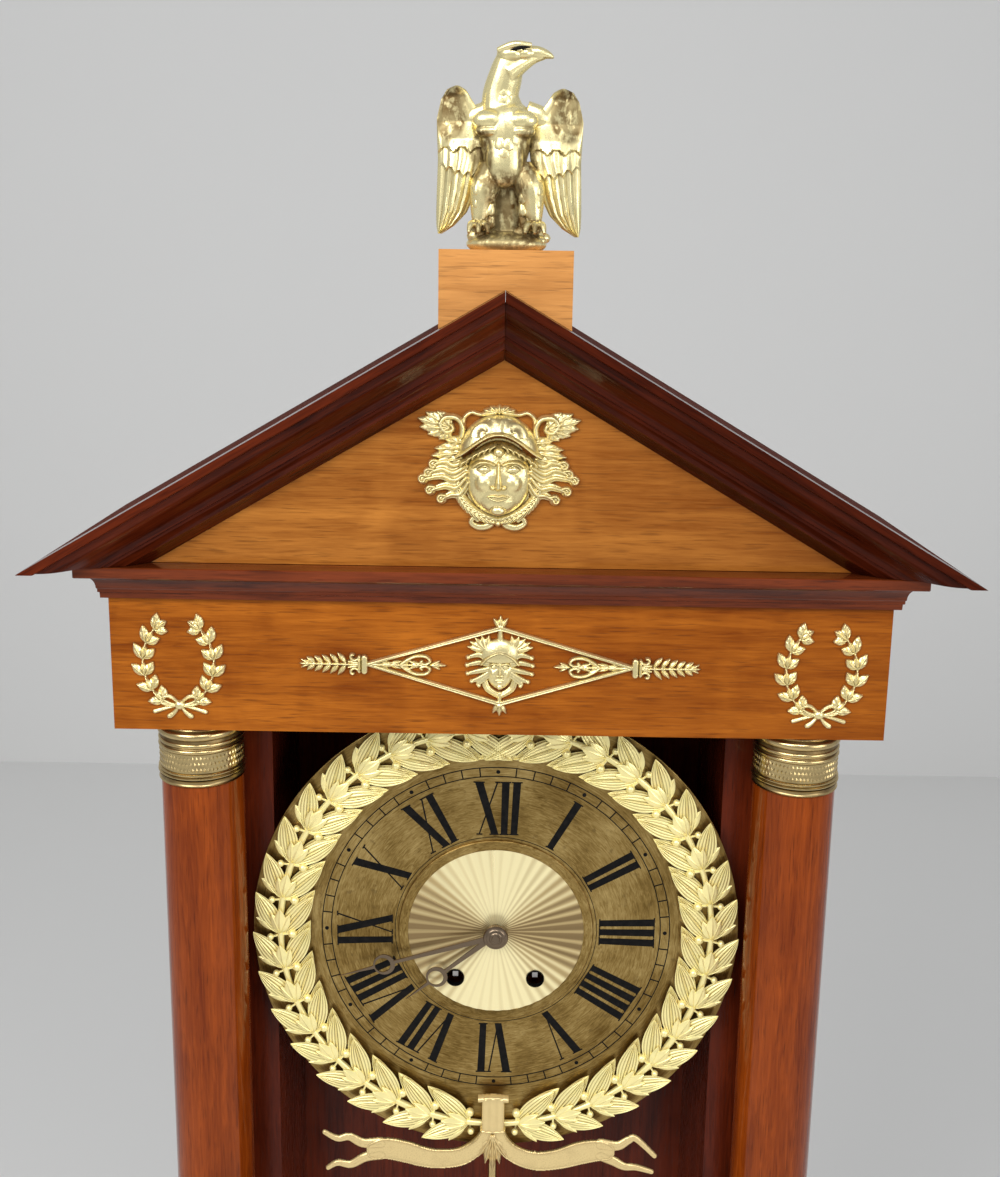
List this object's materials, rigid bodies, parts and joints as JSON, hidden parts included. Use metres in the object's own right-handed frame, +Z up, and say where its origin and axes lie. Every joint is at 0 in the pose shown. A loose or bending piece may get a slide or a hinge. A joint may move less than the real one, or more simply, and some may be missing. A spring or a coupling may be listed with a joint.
{
  "type": "longcase clock",
  "caption": "Portico longcase clock: pedimented mahogany case on two columns, laurel ringed brass dial, pendulum, spring driven time and strike movement.",
  "frame": {"origin": "middle of the outline on the floor under the plinth", "axes": "+Z up, the dial faces -Y, +X is to the right of someone who faces the dial"},
  "size_m": [0.661, 0.2516, 1.9155],
  "materials": {
    "honey_mahogany": "polished honey mahogany",
    "dark_mahogany": "polished dark red brown mahogany",
    "column_mahogany": "french polished red brown mahogany",
    "gilt": "cast brass, fire gilt, satin",
    "aged_brass": "turned brass, aged and burnished",
    "dial_brass": "grained brass with engraved and filled numerals",
    "movement_brass": "polished brass",
    "hand_steel": "blued steel",
    "movement_steel": "polished steel"
  },
  "bodies": {
    "case": {"plinth_carcass": "honey_mahogany", "base_moulding": "dark_mahogany", "plinth_cap": "dark_mahogany", "plinth_panel": "dark_mahogany", "cheek_left": "dark_mahogany", "cheek_right": "dark_mahogany", "side_panel_left": "honey_mahogany", "side_panel_right": "honey_mahogany", "column_left": "column_mahogany", "column_right": "column_mahogany", "capital_left": "aged_brass", "capital_right": "aged_brass", "column_base_left": "aged_brass", "column_base_right": "aged_brass", "soffit_left": "dark_mahogany", "soffit_right": "dark_mahogany", "back_board": "dark_mahogany", "frieze": "honey_mahogany", "cornice": "dark_mahogany", "tympanum": "honey_mahogany", "rake_left": "dark_mahogany", "rake_right": "dark_mahogany", "roof_left": "dark_mahogany", "roof_right": "dark_mahogany", "roof_block": "honey_mahogany", "eagle": "gilt", "tympanum_mask": "gilt", "lozenge_mount": "gilt", "wreath_mount_left": "gilt", "wreath_mount_right": "gilt", "dial_plate": "dial_brass", "centre_disc": "movement_brass", "laurel_wreath": "gilt", "ribbon_bow": "gilt", "front_plate": "movement_brass", "back_plate": "movement_brass", "seat_board": "dark_mahogany", "suspension_cock": "movement_brass", "gong_stand": "movement_steel", "gong": "movement_steel"},
    "pendulum": {"pendulum_rod": "movement_brass", "pendulum_bob": "movement_brass"},
    "rating": {"rating_nut": "movement_brass"},
    "anchor": {"anchor": "movement_steel"},
    "minute": {"centre_wheel": "movement_steel", "minute_hand": "hand_steel", "hand_nut": "hand_steel"},
    "hour": {"hour_wheel": "movement_brass", "hour_hand": "hand_steel"},
    "minute_wheel": {"minute_wheel": "movement_steel"},
    "second_wheel": {"second_wheel": "movement_steel"},
    "time_barrel": {"time_barrel": "movement_brass"},
    "third_wheel": {"third_wheel": "movement_steel"},
    "escape_wheel": {"escape_wheel": "movement_steel"},
    "strike_barrel": {"strike_barrel": "movement_brass"},
    "pin_wheel": {"pin_wheel": "movement_steel"},
    "hammer": {"hammer": "movement_steel"},
    "winding_right": {"winding_arbor_right": "movement_steel"},
    "winding_left": {"winding_arbor_left": "movement_steel"}
  },
  "joints": [
    {"name": "pendulum_swing", "type": "hinge", "parent": "case", "child": "pendulum", "pos_m": [0, 0.06875, 1.296], "axis": [0, 1, 0], "range_deg": [-2, 2]},
    {"name": "rating_turn", "type": "hinge", "parent": "pendulum", "child": "rating", "pos_m": [0, 0.06875, 0.5817], "axis": [0, 0, 1], "continuous": true},
    {"name": "anchor_rock", "type": "hinge", "parent": "case", "child": "anchor", "pos_m": [0, 0.0217, 1.296], "axis": [0, 1, 0], "range_deg": [-2, 2]},
    {"name": "minute_turn", "type": "hinge", "parent": "case", "child": "minute", "pos_m": [0, 0.0217, 1.24], "axis": [0, 1, 0], "continuous": true},
    {"name": "hour_turn", "type": "hinge", "parent": "case", "child": "hour", "pos_m": [0, 0.0217, 1.24], "axis": [0, 1, 0], "continuous": true},
    {"name": "minute_wheel_turn", "type": "hinge", "parent": "case", "child": "minute_wheel", "pos_m": [0.02189, 0.0217, 1.24797], "axis": [0, 1, 0], "continuous": true},
    {"name": "second_wheel_turn", "type": "hinge", "parent": "case", "child": "second_wheel", "pos_m": [0.02213, 0.0217, 1.23153], "axis": [0, 1, 0], "continuous": true},
    {"name": "time_barrel_turn", "type": "hinge", "parent": "case", "child": "time_barrel", "pos_m": [0.0324, 0.0217, 1.1988], "axis": [0, 1, 0], "continuous": true},
    {"name": "third_wheel_turn", "type": "hinge", "parent": "case", "child": "third_wheel", "pos_m": [-0.01304, 0.0217, 1.25919], "axis": [0, 1, 0], "continuous": true},
    {"name": "escape_wheel_turn", "type": "hinge", "parent": "case", "child": "escape_wheel", "pos_m": [0, 0.0217, 1.273], "axis": [0, 1, 0], "continuous": true},
    {"name": "strike_barrel_turn", "type": "hinge", "parent": "case", "child": "strike_barrel", "pos_m": [-0.0324, 0.0217, 1.1988], "axis": [0, 1, 0], "continuous": true},
    {"name": "pin_wheel_turn", "type": "hinge", "parent": "case", "child": "pin_wheel", "pos_m": [-0.02213, 0.0217, 1.23153], "axis": [0, 1, 0], "continuous": true},
    {"name": "hammer_lift", "type": "hinge", "parent": "case", "child": "hammer", "pos_m": [0.056, 0.0217, 1.24], "axis": [0, -1, 0], "range_deg": [0, 12]},
    {"name": "winding_right_turn", "type": "hinge", "parent": "case", "child": "winding_right", "pos_m": [0.0324, 0.0217, 1.1988], "axis": [0, 1, 0], "continuous": true},
    {"name": "winding_left_turn", "type": "hinge", "parent": "case", "child": "winding_left", "pos_m": [-0.0324, 0.0217, 1.1988], "axis": [0, 1, 0], "continuous": true}
  ],
  "couplings": [
    {"joint": "hour_turn", "follows": "minute_turn", "ratio": 0.083333},
    {"joint": "minute_wheel_turn", "follows": "minute_turn", "ratio": -0.33333},
    {"joint": "second_wheel_turn", "follows": "minute_turn", "ratio": -0.16667},
    {"joint": "time_barrel_turn", "follows": "minute_turn", "ratio": 0.027778},
    {"joint": "third_wheel_turn", "follows": "minute_turn", "ratio": -10},
    {"joint": "escape_wheel_turn", "follows": "minute_turn", "ratio": 75},
    {"joint": "pin_wheel_turn", "follows": "strike_barrel_turn", "ratio": -6},
    {"joint": "anchor_rock", "follows": "pendulum_swing", "ratio": 1}
  ]
}
